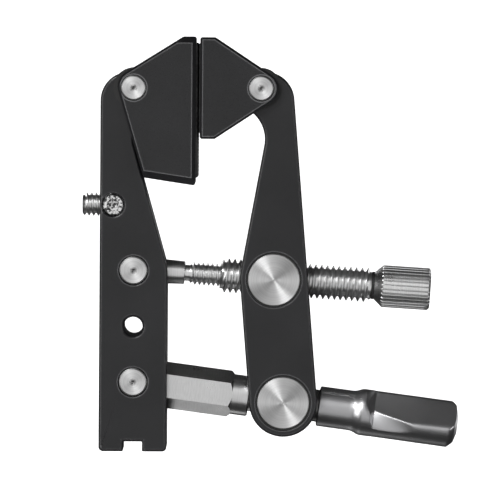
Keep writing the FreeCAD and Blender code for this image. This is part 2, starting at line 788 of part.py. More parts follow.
def right_arm():
    lower = "-dims.barrel_spacing"
    bore_radius = "dims.barrel_radius + 2 * dims.running_gap + dims.bush_wall"
    ends = (f"-{HALF_ARM} - {BEYOND}", f"{HALF_ARM} + {BEYOND}")
    pin_place = ("dims.right_jaw_pin_x", "dims.right_jaw_pin_z", "0 deg")
    tools = [
        rod("upper_barrel_hole", "Y", *ends, bore_radius),
        place(rod("lower_barrel_hole", "Y", *ends, bore_radius), ("0", lower, "0 deg")),
        place(rod("right_jaw_pin_hole", "Y", *ends, "dims.jaw_pin_radius + dims.running_gap"), pin_place),
        *swing_slot("upper_slot", "dims.upper_slot_half", "dims.upper_slot_depth",
                    ("dims.upper_slot_tilt_shut", "-dims.upper_slot_tilt_open"), "0"),
        *swing_slot("lower_slot", "dims.lower_slot_half", "dims.lower_slot_depth",
                    ("dims.lower_slot_tilt_shut", "-dims.lower_slot_tilt_open"), lower),
    ]
    return place(cut("right_arm", right_arm_blank(), tools), RIGHT_ARM)


# ---- clamping rod ------------------------------------------------------------------------------


def hex_sleeve():
    """Hexagon bar with an eye at the arm's pin and a threaded bore for the spindle."""
    bar = doc.addObject("Part::Prism", "hex_bar")
    bar.Polygon = 6
    bar.setExpression("Circumradius", "dims.hex_radius")
    bar.setExpression("Height", "dims.hex_end")
    bar.Placement.Rotation = FreeCAD.Rotation(FreeCAD.Vector(0, 1, 0), 90)
    envelope = turned("hex_envelope", "X", [
        ("0", "0"),
        ("0", "dims.hex_radius + 1"),
        ("dims.hex_end - dims.hex_bevel - 1", "dims.hex_radius + 1"),
        ("dims.hex_end", "dims.hex_radius - dims.hex_bevel"),
        ("dims.hex_end", "0"),
    ])
    tail = turned("hex_tail", "X", [
        ("dims.hex_bore_start", "0"),
        ("dims.hex_bore_start", "dims.hex_flat"),
        ("dims.hex_sleeve_end - 0.4", "dims.hex_flat"),
        ("dims.hex_sleeve_end", "dims.hex_flat - 0.4"),
        ("dims.hex_sleeve_end", "0"),
    ])
    eye = rod("hex_eye", "Y", "-dims.hex_flat", "dims.hex_flat", "dims.hex_radius")
    bore = rod("hex_bore", "X", "dims.hex_bore_start", f"dims.hex_sleeve_end + {BEYOND}",
               "dims.spindle_radius + dims.running_gap")
    eye_hole = rod("hex_eye_hole", "Y", f"-dims.hex_flat - {BEYOND}", f"dims.hex_flat + {BEYOND}",
                   "dims.pin_radius + dims.open_pivot_gap")
    blank = fuse("hex_blank", [common("hex_body", [bar, envelope]), tail, eye])
    return place(cut("hex_sleeve", blank, [bore, eye_hole]), LOWER_PIVOT)


def hex_eye_washers():
    return washer_pair("hex_eye_washers", LOWER_PIVOT, "dims.hex_flat",
                       "(dims.lower_pocket_width / 2 - dims.bush_side_gap)",
                       "dims.pin_radius + dims.open_pivot_gap", "dims.pin_radius * 1.7")


def clamp_spindle():
    start = f"(dims.spindle_start - {LOWER_SPAN})"
    shoulder = "-dims.seat_distance - dims.thrust_washer_thickness - dims.running_gap"
    return place(turned("clamp_spindle", "X", [
        (start, "0"),
        (start, "dims.spindle_radius - dims.spindle_lead"),
        (f"{start} + dims.spindle_lead", "dims.spindle_radius"),
        (shoulder, "dims.spindle_radius"),
        (shoulder, "dims.journal_radius"),
        ("dims.spindle_tail", "dims.journal_radius"),
        ("dims.spindle_tail", "0"),
    ]), LOWER_BARREL)


def thrust_washers():
    near, far = "dims.seat_distance", "dims.seat_distance + dims.thrust_washer_thickness"
    sizes = ("dims.journal_radius + dims.running_gap", "dims.thrust_washer_radius")
    rings = [
        ring("thrust_washer_left", "X", f"-({far})", f"-{near}", *sizes),
        ring("thrust_washer_right", "X", near, far, *sizes),
    ]
    return place(group("thrust_washers", rings), LOWER_BARREL)


def handle_wedge(label, kind, angle):
    """Wedge that takes a long flat off the handle: a ramp, then a face that leans outwards."""
    beyond = f"dims.handle_radius + {BEYOND}"
    start, end = f"dims.{kind}_start", f"dims.handle_end + {BEYOND}"
    wedge = plate(f"{label}_{kind}", [
        (start, beyond),
        (start, "dims.handle_radius"),
        (f"{start} + dims.{kind}_ramp", f"dims.{kind}_near"),
        (end, f"dims.{kind}_far"),
        (end, beyond),
    ], "4 * dims.handle_radius")
    wedge.Placement = FreeCAD.Placement(FreeCAD.Vector(), FreeCAD.Rotation(FreeCAD.Vector(1, 0, 0), 1))
    wedge.setExpression(".Placement.Rotation.Angle", f"({angle} - dims.{kind}_angle) * 1 deg")
    return wedge


def lobe_chamfer():
    """Wedge that slopes off the end of the handle's lower lobe."""
    bottom, end, size = "-dims.handle_radius", "dims.handle_end", "dims.lobe_chamfer"
    return plate("lobe_chamfer", [
        (f"{end} - {size} - {BEYOND}", f"{bottom} - {BEYOND}"),
        (f"{end} + {BEYOND}", f"{bottom} - {BEYOND}"),
        (f"{end} + {BEYOND}", f"{bottom} + {size} + {BEYOND}"),
    ], "4 * dims.handle_radius")


def clamp_handle():
    near = "dims.seat_distance + dims.thrust_washer_thickness + dims.running_gap"
    bore, bore_end = "dims.journal_radius + dims.running_gap", "dims.spindle_tail + dims.running_gap"
    blank = turned("clamp_handle_blank", "X", [
        (near, bore),
        (near, "dims.collar_radius"),
        ("dims.handle_start", "dims.collar_radius"),
        ("dims.handle_start", "dims.handle_neck_radius - 0.4"),
        ("dims.handle_start + 0.4", "dims.handle_neck_radius"),
        ("dims.flare_start", "dims.handle_neck_radius"),
        ("dims.flare_end", "dims.handle_radius"),
        ("dims.handle_end - dims.handle_rim_depth", "dims.handle_radius"),
        ("dims.handle_end - dims.handle_crown_depth", "dims.handle_rim_radius"),
        ("dims.handle_end", "dims.handle_crown_radius"),
        ("dims.handle_end", "0"),
        (bore_end, "0"),
        (bore_end, bore),
    ])
    wedges = [
        handle_wedge(side, kind, angle)
        for side, angle in (("front", 90), ("back", 270))
        for kind in ("flat", "facet")
    ]
    return place(cut("clamp_handle", blank, [*wedges, lobe_chamfer()]), LOWER_BARREL)


# ---- the assembly ------------------------------------------------------------------------------


def arm_pin_screws():
    screws = [
        place(pin_screw("upper_pin_screw", ARM_SCREW), UPPER_PIVOT),
        place(pin_screw("lower_pin_screw", ARM_SCREW), LOWER_PIVOT),
    ]
    return group("arm_pin_screws", screws)


def build_pieces():
    return [
        left_arm(),
        place(pin("upper_pivot_pin", ARM_PIN, ARM_SCREW), UPPER_PIVOT),
        place(pin("lower_pivot_pin", ARM_PIN, ARM_SCREW), LOWER_PIVOT),
        arm_pin_screws(),
        place(pin("left_jaw_pin", JAW_PIN, JAW_SCREW), LEFT_JAW),
        place(pin_screw("left_jaw_pin_screw", JAW_SCREW), LEFT_JAW),
        accessory_stud(),
        stud_lock_screw(),
        left_jaw_shell(),
        jaw_pad("left_jaw_pad", "", "dims.left_pad_crest", "dims.left_pad_bottom", LEFT_JAW),
        jaw_washers("left_jaw_washers", LEFT_JAW),
        eye_bolt(),
        eye_washers(),
        adjuster_sleeve(),
        knob_stop_ring(),
        adjuster_knob(),
        upper_barrel(),
        bushes("upper_bushes", UPPER_BARREL, "dims.upper_slot_depth"),
        right_arm(),
        place(pin("right_jaw_pin", JAW_PIN, JAW_SCREW), RIGHT_JAW),
        place(pin_screw("right_jaw_pin_screw", JAW_SCREW), RIGHT_JAW),
        right_jaw_shell(),
        jaw_pad("right_jaw_pad", "-", "dims.right_pad_crest", "dims.pad_top", RIGHT_JAW),
        jaw_washers("right_jaw_washers", RIGHT_JAW),
        bushes("lower_bushes", LOWER_BARREL, "dims.lower_slot_depth"),
        lower_barrel(),
        thrust_washers(),
        hex_sleeve(),
        hex_eye_washers(),
        clamp_spindle(),
        clamp_handle(),
    ]


def check_document():
    """Stop if any feature failed."""
    for item in doc.Objects:
        if "Invalid" in item.State or "Error" in item.State:
            raise RuntimeError(f"{item.Name} failed: {item.State}")


def export(piece):
    if piece.Shape.isNull() or not piece.Shape.isValid():
        raise RuntimeError(f"{piece.Label} has no valid shape")
    piece.Shape.exportStep(f"parts/{piece.Label}.step")
    print(f"{piece.Label}: {len(piece.Shape.Solids)} solid, {piece.Shape.Volume:.1f} mm3")


pieces = build_pieces()
doc.recompute()
check_document()
for piece in pieces:
    export(piece)
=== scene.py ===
import json
import math
import bmesh
import bpy
from mathutils import Matrix, Vector


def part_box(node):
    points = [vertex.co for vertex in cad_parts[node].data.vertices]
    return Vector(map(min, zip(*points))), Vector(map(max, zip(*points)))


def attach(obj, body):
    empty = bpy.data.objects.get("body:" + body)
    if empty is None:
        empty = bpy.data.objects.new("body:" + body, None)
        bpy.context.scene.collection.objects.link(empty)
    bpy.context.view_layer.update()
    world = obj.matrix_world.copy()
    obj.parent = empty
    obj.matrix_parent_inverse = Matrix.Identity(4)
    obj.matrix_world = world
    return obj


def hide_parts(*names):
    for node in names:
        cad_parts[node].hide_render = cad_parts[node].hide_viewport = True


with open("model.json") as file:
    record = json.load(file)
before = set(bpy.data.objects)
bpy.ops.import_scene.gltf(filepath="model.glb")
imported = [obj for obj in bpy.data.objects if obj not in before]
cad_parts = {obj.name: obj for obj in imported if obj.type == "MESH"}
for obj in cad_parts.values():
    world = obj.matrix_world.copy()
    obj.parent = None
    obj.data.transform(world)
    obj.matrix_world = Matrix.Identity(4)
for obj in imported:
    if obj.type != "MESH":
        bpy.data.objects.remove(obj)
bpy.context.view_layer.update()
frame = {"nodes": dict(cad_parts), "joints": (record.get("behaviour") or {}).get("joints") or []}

MM = 0.001
TURN = 2 * math.pi
NODES = frame["nodes"]
JOINTS = {joint["name"]: joint for joint in frame["joints"]}

# ---- places taken from the frame ---------------------------------------------------------------


def middle(node):
    low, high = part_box(node)
    return (Vector(low) + Vector(high)) / 2


def size(node):
    low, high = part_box(node)
    return Vector(high) - Vector(low)


def on_mid_plane(node):
    """Middle of a node, moved to the clamp's mid plane."""
    centre = middle(node)
    return Vector((centre.x, 0, centre.z))


def joint_place(name):
    return Vector(JOINTS[name]["pos_m"])


UPPER_PIN = joint_place("eye_swing")
LOWER_PIN = on_mid_plane("lower_pivot_pin")
LEFT_JAW_PIN = joint_place("jaws_swivel")
RIGHT_JAW_PIN = joint_place("pin_turn")
UPPER_BARREL = joint_place("arm_swing")
LOWER_BARREL = joint_place("bush_turn_lower")
SCREW_AXIS = Vector(JOINTS["knob_turn"]["axis"]).normalized()
ROD_AXIS = Vector(JOINTS["handle_turn"]["axis"]).normalized()
DEPTH_AXIS = Vector((0, 1, 0))
STUD_AXIS = Vector((1, 0, 0))
STUD_ORIGIN = Vector((0, 0, middle("accessory_stud").z))


def axial_frame(origin, axis):
    """Matrix whose X runs along the axis, Y towards the back and Z up, at the origin."""
    x = axis.normalized()
    y = DEPTH_AXIS if abs(x.dot(DEPTH_AXIS)) < 0.5 else Vector((-1, 0, 0))
    z = x.cross(y).normalized()
    matrix = Matrix((x, z.cross(x), z)).transposed().to_4x4()
    return Matrix.Translation(origin) @ matrix


SCREW = axial_frame(UPPER_PIN, SCREW_AXIS)
ROD = axial_frame(LOWER_BARREL, ROD_AXIS)


def span(node, matrix):
    """Lowest and highest distance of a node along the frame's X, in millimetres."""
    inverse = matrix.inverted()
    along = [(inverse @ vertex.co).x / MM for vertex in NODES[node].data.vertices]
    return min(along), max(along)


# ---- shader nodes ------------------------------------------------------------------------------


class Shader:
    """A material whose node tree is built by short calls."""

    def __init__(self, name):
        self.material = bpy.data.materials.new(name)
        self.material.use_nodes = True
        self.tree = self.material.node_tree
        self.bsdf = self.tree.nodes["Principled BSDF"]

    def add(self, kind, inputs=None, **settings):
        node = self.tree.nodes.new(kind)
        for key, value in settings.items():
            setattr(node, key, value)
        for key, value in (inputs or {}).items():
            self.feed(node.inputs[key], value)
        return node

    def feed(self, socket, value):
        if isinstance(value, bpy.types.NodeSocket):
            self.tree.links.new(value, socket)
        else:
            socket.default_value = value

    def set(self, **inputs):
        for key, value in inputs.items():
            self.feed(self.bsdf.inputs[key.replace("_", " ")], value)

    def math(self, operation, a, b=0.0):
        node = self.add("ShaderNodeMath", {0: a, 1: b}, operation=operation)
        return node.outputs[0]

    def place(self):
        return self.add("ShaderNodeTexCoord").outputs["Object"]

    def noise(self, vector, scale, detail=3.0, roughness=0.5):
        node = self.add("ShaderNodeTexNoise", {
            "Vector": vector, "Scale": scale, "Detail": detail, "Roughness": roughness})
        return node.outputs["Fac"]

    def range(self, value, low, high, to_low, to_high):
        node = self.add("ShaderNodeMapRange", {
            "Value": value, "From Min": low, "From Max": high, "To Min": to_low, "To Max": to_high})
        return node.outputs[0]

    def mix(self, factor, first, second):
        node = self.add("ShaderNodeMix", data_type="RGBA")
        self.feed(node.inputs[0], factor)
        self.feed(node.inputs[6], first)
        self.feed(node.inputs[7], second)
        return node.outputs[2]

    def bump(self, height, distance, strength=1.0, normal=None):
        inputs = {"Height": height, "Distance": distance, "Strength": strength}
        if normal is not None:
            inputs["Normal"] = normal
        return self.add("ShaderNodeBump", inputs).outputs["Normal"]

    def rim(self, reach):
        """How near a point of a front or back face is to a hard edge, from 0 to 1."""
        rounded = self.add("ShaderNodeBevel", {"Radius": reach}, samples=6).outputs[0]
        true = self.add("ShaderNodeNewGeometry").outputs["True Normal"]
        pair = self.add("ShaderNodeVectorMath", {0: rounded, 1: true}, operation="DOT_PRODUCT")
        turn = self.range(pair.outputs["Value"], 0.995, 0.97, 0, 1)
        depth = self.add("ShaderNodeVectorMath", {0: true, 1: DEPTH_AXIS}, operation="DOT_PRODUCT")
        flat = self.range(self.math("ABSOLUTE", depth.outputs["Value"]), 0.9, 0.97, 0, 1)
        return self.math("MULTIPLY", turn, flat)

    def local(self, origin, axis):
        """Coordinates with X along the axis and the origin at a point, in metres."""
        matrix = axial_frame(origin, axis).inverted()
        rows = [matrix[i].xyz for i in range(3)]
        place = self.place()
        parts = []
        for row, shift in zip(rows, matrix.translation):
            dot = self.add("ShaderNodeVectorMath", {0: place, 1: row}, operation="DOT_PRODUCT")
            parts.append(self.math("ADD", dot.outputs["Value"], shift))
        return parts

    def joined(self, x, y, z):
        return self.add("ShaderNodeCombineXYZ", {0: x, 1: y, 2: z}).outputs[0]

    def radius(self, parts):
        return self.math("SQRT", self.math("ADD", self.math("MULTIPLY", parts[1], parts[1]),
                                           self.math("MULTIPLY", parts[2], parts[2])))


def grey(value, tint=0.0):
    return (value, value, value * (1 + tint), 1)


def anodised(name="anodised_black"):
    """Hard-anodised aluminium: near-black, satin, bead blasted, with a painted highlight along its flat
    rims.
    """
    s = Shader(name)
    place = s.place()
    cloud = s.noise(place, 60, 4)
    grain = s.noise(place, 5200, 2)
    tone = s.mix(s.range(cloud, 0.3, 0.7, 0, 1), grey(0.006, 0.10), grey(0.010, 0.10))
    tone = s.mix(s.range(grain, 0.35, 0.75, 0, 0.5), tone, grey(0.014, 0.06))
    # painted highlight: a lighter colour along the hard edges of the flat faces stands in for the light the
    # rounded edges catch
    tone = s.mix(s.rim(0.6 * MM), tone, grey(0.11, 0.03))
    s.set(Base_Color=tone, Metallic=0.0, Roughness=s.range(grain, 0.3, 0.7, 0.27, 0.35))
    s.set(Specular_IOR_Level=0.36, Normal=s.bump(grain, 0.012 * MM, 0.2))
    return s.material


def turned_face(name, origin, tone=0.66, rings=5200, centre=0.0, fan=0.88):
    """Steel face turned on a lathe: fine circles that stretch the light into a fan.

    Centre is the radius of a dark stain in the middle, and fan says how far the light is stretched.
    """
    s = Shader(name)
    parts = s.local(origin, DEPTH_AXIS)
    along = s.joined(s.radius(parts), s.math("MULTIPLY", parts[0], 0.3), 0.0)
    groove = s.noise(along, rings, 2, 0.6)
    smear = s.noise(s.place(), 300, 3)
    colour = s.mix(s.range(groove, 0.35, 0.65, 0, 1), grey(tone * 0.9), grey(tone * 1.06))
    if centre:
        stain = s.noise(s.place(), 2600, 3)
        reach = s.math("ADD", s.radius(parts), s.math("MULTIPLY", stain, -centre))
        colour = s.mix(s.range(reach, -0.2 * centre, 0.25 * centre, 0.8, 0), colour, grey(0.12))
    s.set(Base_Color=colour, Metallic=1.0, Anisotropic=fan, Anisotropic_Rotation=0.25)
    s.set(Roughness=s.range(smear, 0.3, 0.7, 0.36, 0.42))
    s.set(Normal=s.bump(groove, 0.002 * MM, 0.3))
    s.set(Tangent=s.add("ShaderNodeTangent", direction_type="RADIAL", axis="Y").outputs[0])
    return s.material


def turned_shaft(name, origin, axis, tone=0.72, rings=3600):
    """Steel shaft with fine turning marks round it and a few darker, duller patches."""
    s = Shader(name)
    parts = s.local(origin, axis)
    along = s.joined(parts[0], s.math("MULTIPLY", s.radius(parts), 0.5), 0.0)
    groove = s.noise(along, rings, 2, 0.6)
    smear = s.noise(s.place(), 160, 3)
    colour = s.mix(s.range(groove, 0.35, 0.65, 0, 1), grey(tone * 0.92), grey(tone * 1.04))
    s.set(Base_Color=colour, Metallic=1.0, Roughness=s.range(smear, 0.3, 0.7, 0.26, 0.34))
    s.set(Normal=s.bump(groove, 0.002 * MM, 0.1))
    return s.material


def dented_steel(name):
    """Bright steel with small dents, and dark and bright patches painted into its colour as painted
    reflections of its facets.
    """
    s = Shader(name)
    cells = s.add("ShaderNodeTexVoronoi", {"Vector": s.place(), "Scale": 1300.0})
    dent = cells.outputs["Distance"]
    reflection_patch = s.noise(s.place(), 1500, 2)
    # painted reflection: the dark and bright patches in the colour stand in for the reflections of the
    # socket's facets
    tone = s.mix(s.range(reflection_patch, 0.44, 0.54, 0, 1), grey(0.10), grey(0.92))
    s.set(Base_Color=tone, Metallic=1.0, Roughness=s.range(reflection_patch, 0.4, 0.6, 0.42, 0.25))
    s.set(Normal=s.bump(dent, 0.2 * MM, 0.5))
    return s.material


def rubber(name="pad_rubber"):
    s = Shader(name)
    place = s.place()
    grain = s.noise(place, 3500, 5, 0.7)
    dust = s.noise(place, 300, 4)
    tone = s.mix(s.range(dust, 0.45, 0.75, 0, 1), grey(0.008), grey(0.022))
    s.set(Base_Color=tone, Roughness=s.range(grain, 0.3, 0.7, 0.55, 0.8))
    s.set(Normal=s.bump(grain, 0.03 * MM, 0.5))
    return s.material


def bearing_plastic(name="bearing_plastic"):
    s = Shader(name)
    grain = s.noise(s.place(), 2500, 3)
    s.set(Base_Color=s.mix(grain, grey(0.004), grey(0.010)), Roughness=s.range(grain, 0.3, 0.7, 0.5, 0.65))
    s.set(Normal=s.bump(grain, 0.01 * MM, 0.4))
    return s.material


def gunmetal(name="gunmetal_satin"):
    """Dark grey satin metal with a fine brushed grain along the handle, and painted shade on the collar in
    the recess beside the barrel.
    """
    s = Shader(name)
    parts = s.local(LOWER_BARREL, ROD_AXIS)
    stretched = s.joined(s.math("MULTIPLY", parts[0], 0.06), parts[1], parts[2])
    brush = s.noise(stretched, 7000, 3, 0.6)
    cloud = s.noise(s.place(), 120, 3)
    tone = s.mix(s.range(cloud, 0.3, 0.7, 0, 1), grey(0.50, 0.02), grey(0.55, 0.02))
    # painted shade: the collar, short of 9.5 mm along the rod, is darkened where it sits in shade beside
    # the barrel
    tone = s.mix(s.range(parts[0], 9.5 * MM, 9.8 * MM, 0, 1), grey(0.18), tone)
    s.set(Base_Color=tone, Metallic=1.0, Roughness=s.range(brush, 0.3, 0.7, 0.33, 0.40))
    s.set(Normal=s.bump(brush, 0.003 * MM, 0.3))
    return s.material


# ---- meshes ------------------------------------------------------------------------------------


def piece(name, bm, matrix, material, body, slot, *nodes, smooth=35):
    """Turns a mesh built in millimetres in a local frame into a piece that rides on a body."""
    bmesh.ops.remove_doubles(bm, verts=bm.verts, dist=0.002)
    bmesh.ops.recalc_face_normals(bm, faces=bm.faces)
    mesh = bpy.data.meshes.new(name)
    bm.to_mesh(mesh)
    bm.free()
    mesh.transform(matrix @ Matrix.Scale(MM, 4))
    obj = bpy.data.objects.new(name, mesh)
    bpy.context.scene.collection.objects.link(obj)
    mesh.materials.append(material)
    soften(mesh, smooth)
    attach(obj, body)
    if nodes:
        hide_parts(*nodes)
    return obj


def soften(mesh, degrees):
    """Smooth shading, with edges sharper than the angle kept hard."""
    for polygon in mesh.polygons:
        polygon.use_smooth = True
    bm = bmesh.new()
    bm.from_mesh(mesh)
    for edge in bm.edges:
        sharp = len(edge.link_faces) == 2 and edge.calc_face_angle() > math.radians(degrees)
        edge.smooth = not sharp
    bm.to_mesh(mesh)
    bm.free()


def skin(bm, columns, closed=True):
    """Faces between neighbouring columns of vertices."""
    pairs = list(zip(columns, columns[1:]))
    if closed:
        pairs.append((columns[-1], columns[0]))
    for left, right in pairs:
        for i in range(len(left) - 1):
            bm.faces.new((left[i], left[i + 1], right[i + 1], right[i]))


def lathe(stations, radius, count=96):
    """Closed mesh whose surface is radius(x, angle) at the stations along X; ends run to the axis."""
    bm = bmesh.new()
    columns = []
    for i in range(count):
        angle = TURN * i / count
        columns.append([
            bm.verts.new((x, radius(k, x, angle) * math.cos(angle), radius(k, x, angle) * math.sin(angle)))
            for k, x in enumerate(stations)
        ])
    skin(bm, columns)
    for end in (0, -1):
        bm.faces.new([column[end] for column in columns])
    return bm


def turned(profile, count=96):
    """Closed mesh turned from (x, radius) points; the first and last lie on the axis or are capped."""
    return lathe([x for x, _ in profile], lambda k, x, angle: profile[k][1], count)


def thread(start, end, crest, root, pitch, hand, lead, count=72):
    """Helical thread along X from start to end. hand is 1 for right, -1 for left; both ends are bevelled.

    The rows follow the helix, so crests and roots stay crisp; rows past an end fall onto it.
    """
    profile = ((0.0, root), (0.12, root), (0.44, crest), (0.56, crest), (0.88, root))
    first = math.floor(start / pitch) - 2
    last = math.ceil(end / pitch) + 2
    rows = [(k + f, r) for k in range(first, last) for f, r in profile]
    bm = bmesh.new()
    columns = []
    for i in range(count):
        angle = TURN * i / count
        column = []
        for turns, radius in rows:
            x = min(max((turns + hand * i / count) * pitch, start), end)
            r = min(radius, root - 0.05 + min(x - start, end - x) * lead)
            column.append(bm.verts.new((x, r * math.cos(angle), r * math.sin(angle))))
        columns.append(column)
    skin(bm, columns, closed=False)
    shift = len(profile) * hand
    left, right = columns[-1], columns[0]
    for j in range(len(rows) - 1):
        if 0 <= j + shift < len(rows) - 1:
            a, b = (right[j + shift], right[j + 1 + shift])
            bm.faces.new((left[j], left[j + 1], b, a))
    bmesh.ops.remove_doubles(bm, verts=bm.verts, dist=0.002)
    loose = [edge for edge in bm.edges if len(edge.link_faces) == 1]
    bmesh.ops.holes_fill(bm, edges=loose, sides=0)
    return bm


THIN_PITCH, THICK_PITCH = 1.27, 1.5875
RIGHT_HAND, LEFT_HAND = 1, -1


def accessory_stud():
    matrix = axial_frame(STUD_ORIGIN, STUD_AXIS)
    start, end = span("accessory_stud", matrix)
    crest, depth = size("accessory_stud").z / 2 / MM, 0.72
    bm = thread(start, end, crest, crest - depth, THIN_PITCH, RIGHT_HAND, 1.2)
    material = turned_shaft("steel_stud", STUD_ORIGIN, STUD_AXIS)
    piece("accessory_stud_thread", bm, matrix, material, "left_arm", "steel", "accessory_stud")


def adjuster_sleeve():
    start, end = span("adjuster_sleeve", SCREW)
    shoulder = span("knob_stop_ring", SCREW)[0]
    gap, crest, root = 0.05, 4.65, 3.62
    bm = thread(start, shoulder - gap, crest, root, THICK_PITCH, LEFT_HAND, 1.1)
    material = turned_shaft("steel_sleeve", UPPER_PIN, SCREW_AXIS, tone=0.8)
    piece("adjuster_sleeve_thread", bm, SCREW, material, "adjuster", "steel", "adjuster_sleeve")


def eye_bolt():
    start, end = 15.3, span("eye_bolt", SCREW)[1]
    crest, root = 3.08, 2.35
    material = turned_shaft("steel_eye_bolt", UPPER_PIN, SCREW_AXIS, tone=0.8)
    bm = thread(start, end, crest, root, THIN_PITCH, RIGHT_HAND, 1.2)
    piece("eye_bolt_thread", bm, SCREW, material, "eye_bolt", "steel", "eye_bolt")
    shank = turned([(3.0, 3.54), (3.9, 3.54), (13.75, 3.1), (13.9, 2.95), (13.95, 2.175), (15.4, 2.175)])
    piece("eye_bolt_shank", shank, SCREW, material, "eye_bolt", "steel", "eye_bolt")
    eye = turned([(-4.0, 5.0), (-3.8, 5.2), (3.8, 5.2), (4.0, 5.0)])
    across = axial_frame(UPPER_PIN, DEPTH_AXIS)
    piece("eye_bolt_eye", eye, across, material, "eye_bolt", "steel", "eye_bolt")


def adjuster_knob():
    """Straight-knurled knob with a plain cone on its inner side."""
    start, end = span("adjuster_knob", SCREW)
    radius, ribs, depth = 5.74, 29, 0.42
    cone_end, bevel = start + 2.3, 0.55

    def surface(k, x, angle):
        phase = (angle * ribs / TURN) % 1
        tooth = min(1.0, 5.5 * min(phase, 1 - phase)) ** 0.7
        limit = min(radius, 3.7 + (x - start) * 0.89, radius - bevel + (end - x) * 1.0)
        return min(limit, radius - depth + depth * tooth)

    steps = [start, start + 0.7, start + 1.4, start + 1.9, cone_end - 0.1, cone_end, cone_end + 0.3]
    body = [cone_end + 0.3 + (end - bevel - cone_end - 0.3) * i / 12 for i in range(1, 13)]
    stations = steps + body + [end - bevel / 2, end - 0.1, end]
    bm = lathe(stations, surface, ribs * 12)
    material = turned_shaft("steel_knob", UPPER_PIN, SCREW_AXIS, tone=0.84)
    piece("adjuster_knob_knurl", bm, SCREW, material, "adjuster", "steel", "adjuster_knob")


def rounded_min(first, second, blend):
    """The smaller of two lengths, with the corner between them rounded off on the inside."""
    overlap = max(blend - abs(first - second), 0) / blend
    return min(first, second) - overlap * overlap * blend / 4


NO_LIMIT = 99.0
LEAST_FACING = 0.05


def wedge_limit(x, angle, normal, start, ramp, outside, near, far, end):
    """Radius at which a long flat cuts the handle, for a direction round its axis."""
    facing = math.cos(angle - normal)
    if x < start or facing < LEAST_FACING:
        return NO_LIMIT
    if x < start + ramp:
        distance = outside + (near - outside) * (x - start) / ramp
    else:
        distance = near + (far - near) * (x - start - ramp) / (end + 2 - start - ramp)
    return distance / facing


def facet_limit(x, angle, side, outside):
    """Radius at which the hollow facet cuts the handle: it twists downwards and fades out at a nose."""
    start, nose, ramp = 25.0, 35.6, 1.2
    near, rise, fade = 4.02, 2.24, 0.25
    first_turn, twist = 13.7, 34
    if x < start - ramp:
        return NO_LIMIT
    share = min(max((x - start) / (nose - start), 0.0), 1.0)
    distance = near + rise * share + max(x - nose, 0) * fade
    if x < start:
        distance = near + (outside - near) * (start - x) / ramp
    facing = math.cos(angle - side + math.radians(first_turn - twist * share))
    return distance / facing if facing > LEAST_FACING else NO_LIMIT


def clamp_handle():
    """Handle with a slim neck, a flare, two ground flats and a hollow facet beside each of them."""
    start, end = span("clamp_handle", ROD)
    collar, neck, full = 4.4, 5.48, 6.37
    neck_start, flare_start, flare = 9.6, 18.8, 3.2
    neck_bevel, flat_turn, lobe_cut = 0.4, math.radians(41), 2.3
    front, back = math.pi, 0.0

    def surface(k, x, angle):
        if x <= neck_start:
            return collar
        limit = min(neck - neck_bevel + (x - neck_start), neck)
        if x > flare_start:
            rise = min((x - flare_start) / flare, 1.0)
            limit = neck + (full - neck) * (0.5 - 0.5 * math.cos(math.pi * rise))
        for side in (front, back):
            flat = wedge_limit(x, angle, side - flat_turn, 22.6, 2.4, full, 3.62, 4.25, end)
            facet = facet_limit(x, angle, side, full)
            limit = rounded_min(limit, flat, 0.9)
            limit = rounded_min(limit, facet, 0.25)
        if math.sin(angle) < -0.1:
            limit = min(limit, (full - lobe_cut + end - x) / -math.sin(angle))
        rim = 5.38 + (end - 0.8 - x) * 0.82
        crown = 2.48 + (end - x) * 3.62
        return rounded_min(rounded_min(limit, rim, 0.4), crown, 0.3)

    steps = [start, 9.58, 9.6, 9.8, 10.0, 12.0, 15.0, 18.0, 19.2]
    fine = [19.2 + (end - 2.2 - 19.2) * i / 90 for i in range(1, 91)]
    last = [end - 2.2 + 2.2 * i / 16 for i in range(1, 17)]
    bm = lathe(steps + fine + last, surface, 180)
    piece("clamp_handle_grip", bm, ROD, gunmetal(), "clamp_screw", "gunmetal", "clamp_handle", smooth=24)


def pin_profile(node, bevel, dimple):
    """Front head of a pin as (distance along Y, radius) points, with the node's own front, back and head
    radius.
    """
    low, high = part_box(node)
    front, back = low[1] / MM, high[1] / MM
    head = (high[0] - low[0]) / 2 / MM
    return front, back, head, [
        (front + 0.35, 0.02),
        (front + 0.1, dimple),
        (front + 0.02, dimple + 0.12),
        (front, dimple + 0.3),
        (front, head - bevel - 0.05),
        (front + 0.04, head - bevel),
        (front + bevel, head - 0.03),
        (front + bevel + 0.12, head),
    ]


def pin(node, origin, body, head_length, shank, bevel, dimple):
    front, back, head, profile = pin_profile(node, bevel, dimple)
    profile += [(front + head_length, head), (front + head_length, shank), (back, shank), (back, 1.5)]
    matrix = axial_frame(origin, DEPTH_AXIS)
    material = turned_face(f"steel_{node}", origin, 0.74, 3000, 1.5 * MM, 0.6)
    bm = turned(profile, 128)
    piece(f"{node}_turned", bm, matrix, material, body, "steel", node, smooth=18)


def hex_radius(flat, angle):
    """Distance from the axis to a hexagon's side, in a direction round the axis."""
    sector = TURN / 6
    return flat / math.cos((angle % sector) - sector / 2)


def stud_lock_screw():
    """Cup-point screw with a hexagon socket and a worn rim."""
    origin = on_mid_plane("stud_lock_screw")
    low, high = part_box("stud_lock_screw")
    front, back, radius = low[1] / MM, high[1] / MM, (high[0] - low[0]) / 2 / MM
    stations = [front + 2.3, front + 2.3, front + 0.12, front, front, front + 0.35, back]
    radii = [0.05, 1.5, 1.5, 1.68, radius - 0.35, radius, radius]

    def surface(k, x, angle):
        return hex_radius(radii[k], angle) if k in (1, 2) else radii[k]

    material = dented_steel("steel_lock_screw")
    bm = lathe(stations, surface, 96)
    matrix = axial_frame(origin, DEPTH_AXIS)
    piece("stud_lock_screw_socket", bm, matrix, material, "left_arm", "steel", "stud_lock_screw", smooth=20)


